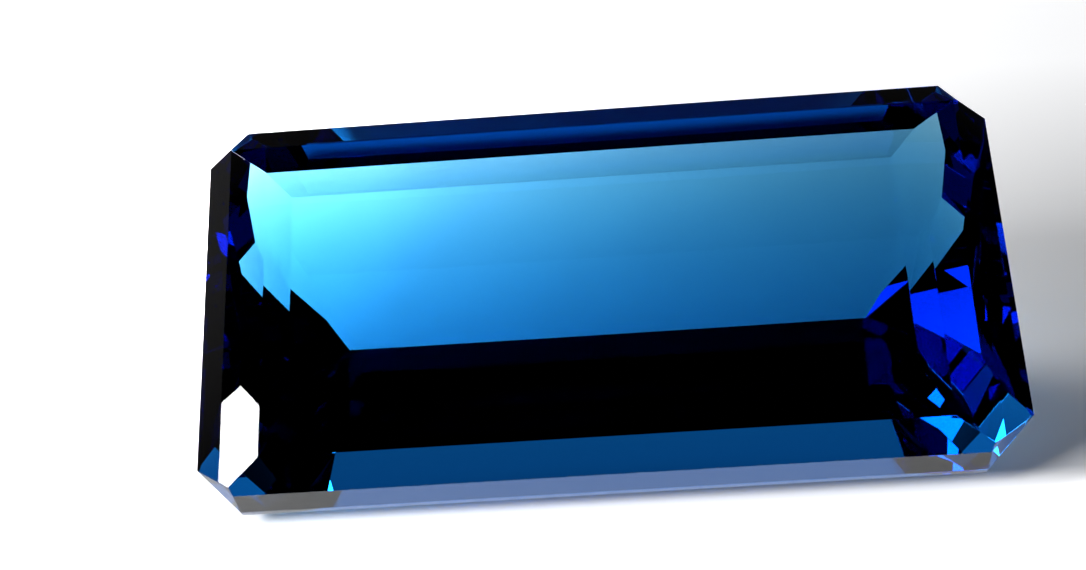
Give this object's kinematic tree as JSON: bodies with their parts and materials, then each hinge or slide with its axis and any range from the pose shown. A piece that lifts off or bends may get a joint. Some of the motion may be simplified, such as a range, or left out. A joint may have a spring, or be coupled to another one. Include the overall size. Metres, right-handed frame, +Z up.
{
  "type": "step-cut topaz gemstone",
  "caption": "Transparent blue topaz cut as a long octagon: a flat polished table, a stepped crown, a thin girdle and stepped pavilion facets that meet in a keel.",
  "frame": {"origin": "centre of the bounding box's footprint, on the surface that the stone lies on", "axes": "+X along the keel, to the right seen from the side the table leans to; -Y towards that side; +Z up"},
  "size_m": [0.04, 0.0158, 0.0158],
  "materials": {
    "topaz": "polished"
  },
  "bodies": {
    "root": {"topaz_gemstone": "topaz"}
  },
  "joints": []
}
